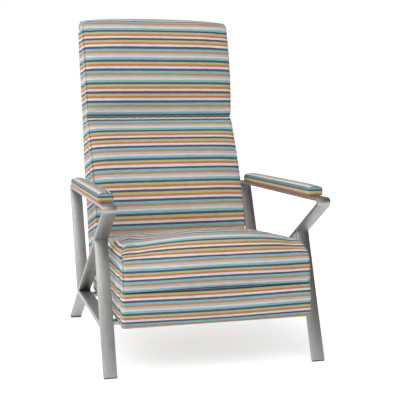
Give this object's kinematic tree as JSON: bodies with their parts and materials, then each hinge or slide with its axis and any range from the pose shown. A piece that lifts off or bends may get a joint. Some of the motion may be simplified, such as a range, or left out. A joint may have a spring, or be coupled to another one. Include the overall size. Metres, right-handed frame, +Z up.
{
  "type": "recliner",
  "caption": "Reclining armchair: striped upholstered seat, folding footrest and reclining back between two bent flat-bar steel side frames with padded arms.",
  "frame": {"origin": "on the floor, midway between the side frames and midway between the chair's front and rear", "axes": "+X to the chair's right seen from the front, +Y to its back, +Z up; the chair faces -Y"},
  "size_m": [0.718, 1.003, 1.1581],
  "materials": {
    "brushed_steel": "satin, fine grain along the bars",
    "zinc_steel": "dull zinc plate",
    "frame_wood": "raw plywood and softwood",
    "striped_fabric": "woven cloth with fine horizontal stripes",
    "webbing": "elastic webbing",
    "glide_plastic": "black nylon"
  },
  "bodies": {
    "chassis": {"left_arm_bar": "brushed_steel", "right_arm_bar": "brushed_steel", "left_front_leg": "brushed_steel", "right_front_leg": "brushed_steel", "left_rear_post": "brushed_steel", "right_rear_post": "brushed_steel", "left_stretcher": "brushed_steel", "right_stretcher": "brushed_steel", "rear_cross_rail": "brushed_steel", "front_mounting_plates": "brushed_steel", "arm_screws": "zinc_steel", "seat_box_bolts": "zinc_steel", "left_mechanism_plate": "zinc_steel", "right_mechanism_plate": "zinc_steel", "left_recline_hinge_plate": "zinc_steel", "right_recline_hinge_plate": "zinc_steel", "left_arm_board": "frame_wood", "right_arm_board": "frame_wood", "left_seat_side_rail": "frame_wood", "right_seat_side_rail": "frame_wood", "seat_front_rail": "frame_wood", "seat_rear_rail": "frame_wood", "left_arm_pad": "striped_fabric", "right_arm_pad": "striped_fabric", "seat_cushion": "striped_fabric", "left_seat_side_cover": "striped_fabric", "right_seat_side_cover": "striped_fabric", "seat_webbing": "webbing", "foot_glides": "glide_plastic"},
    "back": {"left_back_side_panel": "frame_wood", "right_back_side_panel": "frame_wood", "back_top_rail": "frame_wood", "back_middle_rail": "frame_wood", "back_bottom_rail": "frame_wood", "back_webbing": "webbing", "back_cushion": "striped_fabric", "left_back_side_pad": "striped_fabric", "right_back_side_pad": "striped_fabric", "outer_back_panel": "striped_fabric", "left_back_hinge_bracket": "zinc_steel", "right_back_hinge_bracket": "zinc_steel", "recline_pins": "zinc_steel"},
    "footrest_drive": {"left_drive_link": "zinc_steel", "right_drive_link": "zinc_steel", "torque_bar": "zinc_steel", "drive_pivot_pins": "zinc_steel", "knee_pins": "zinc_steel"},
    "footrest_extension": {"left_extension_link": "zinc_steel", "right_extension_link": "zinc_steel", "footrest_pivot_pins": "zinc_steel"},
    "footrest": {"left_footrest_bracket": "zinc_steel", "right_footrest_bracket": "zinc_steel", "footrest_board": "frame_wood", "footrest_pad": "striped_fabric", "footrest_screws": "zinc_steel"}
  },
  "joints": [
    {"name": "back_recline", "type": "hinge", "parent": "chassis", "child": "back", "pos_m": [0, 0.1814, 0.288], "axis": [-1, 0, 0], "range_deg": [0, 32]},
    {"name": "footrest_drive", "type": "hinge", "parent": "chassis", "child": "footrest_drive", "pos_m": [0, -0.3606, 0.274], "axis": [-1, 0, 0], "range_deg": [0, 125]},
    {"name": "footrest_knee", "type": "hinge", "parent": "footrest_drive", "child": "footrest_extension", "pos_m": [0, -0.2186, 0.184], "axis": [-1, 0, 0], "range_deg": [-135, 0]},
    {"name": "footrest_tilt", "type": "hinge", "parent": "footrest_extension", "child": "footrest", "pos_m": [0, -0.4226, 0.241], "axis": [-1, 0, 0], "range_deg": [0, 96]}
  ],
  "couplings": [
    {"joint": "footrest_knee", "follows": "footrest_drive", "ratio": -1.0776},
    {"joint": "footrest_tilt", "follows": "footrest_drive", "ratio": 0.7656}
  ]
}
